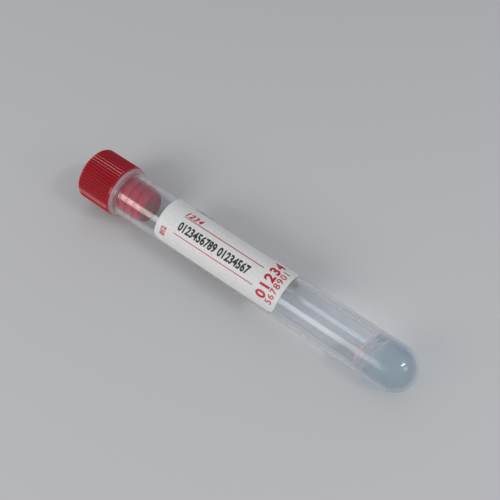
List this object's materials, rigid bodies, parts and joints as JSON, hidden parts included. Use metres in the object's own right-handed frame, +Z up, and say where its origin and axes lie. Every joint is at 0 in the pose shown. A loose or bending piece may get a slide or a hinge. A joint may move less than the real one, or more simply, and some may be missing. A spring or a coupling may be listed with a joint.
{
  "type": "blood collection tube",
  "caption": "Round-ended see-through tube with separator gel in its end, a wrap label and a ribbed push-in cap that pulls off.",
  "frame": {"origin": "on the surface it lies on, below the middle of its length", "axes": "+X from the cap towards the round end, +Z up; the tube's axis dips one degree towards the round end"},
  "size_m": [0.0964, 0.0142, 0.0143],
  "materials": {
    "milky_polypropylene": "see-through, slightly milky, glossy",
    "red_polyethylene": "satin moulded",
    "separator_gel": "wet, milky, bluish white",
    "label_paper": "coated white paper with red and black print"
  },
  "bodies": {
    "tube_body": {"tube": "milky_polypropylene", "gel": "separator_gel", "label": "label_paper"},
    "cap_body": {"cap": "red_polyethylene"}
  },
  "joints": [
    {"name": "cap_pull", "type": "slide", "parent": "tube_body", "child": "cap_body", "axis": [-0.9999, 0, 0.0172], "range_m": [0, 0.02]}
  ]
}
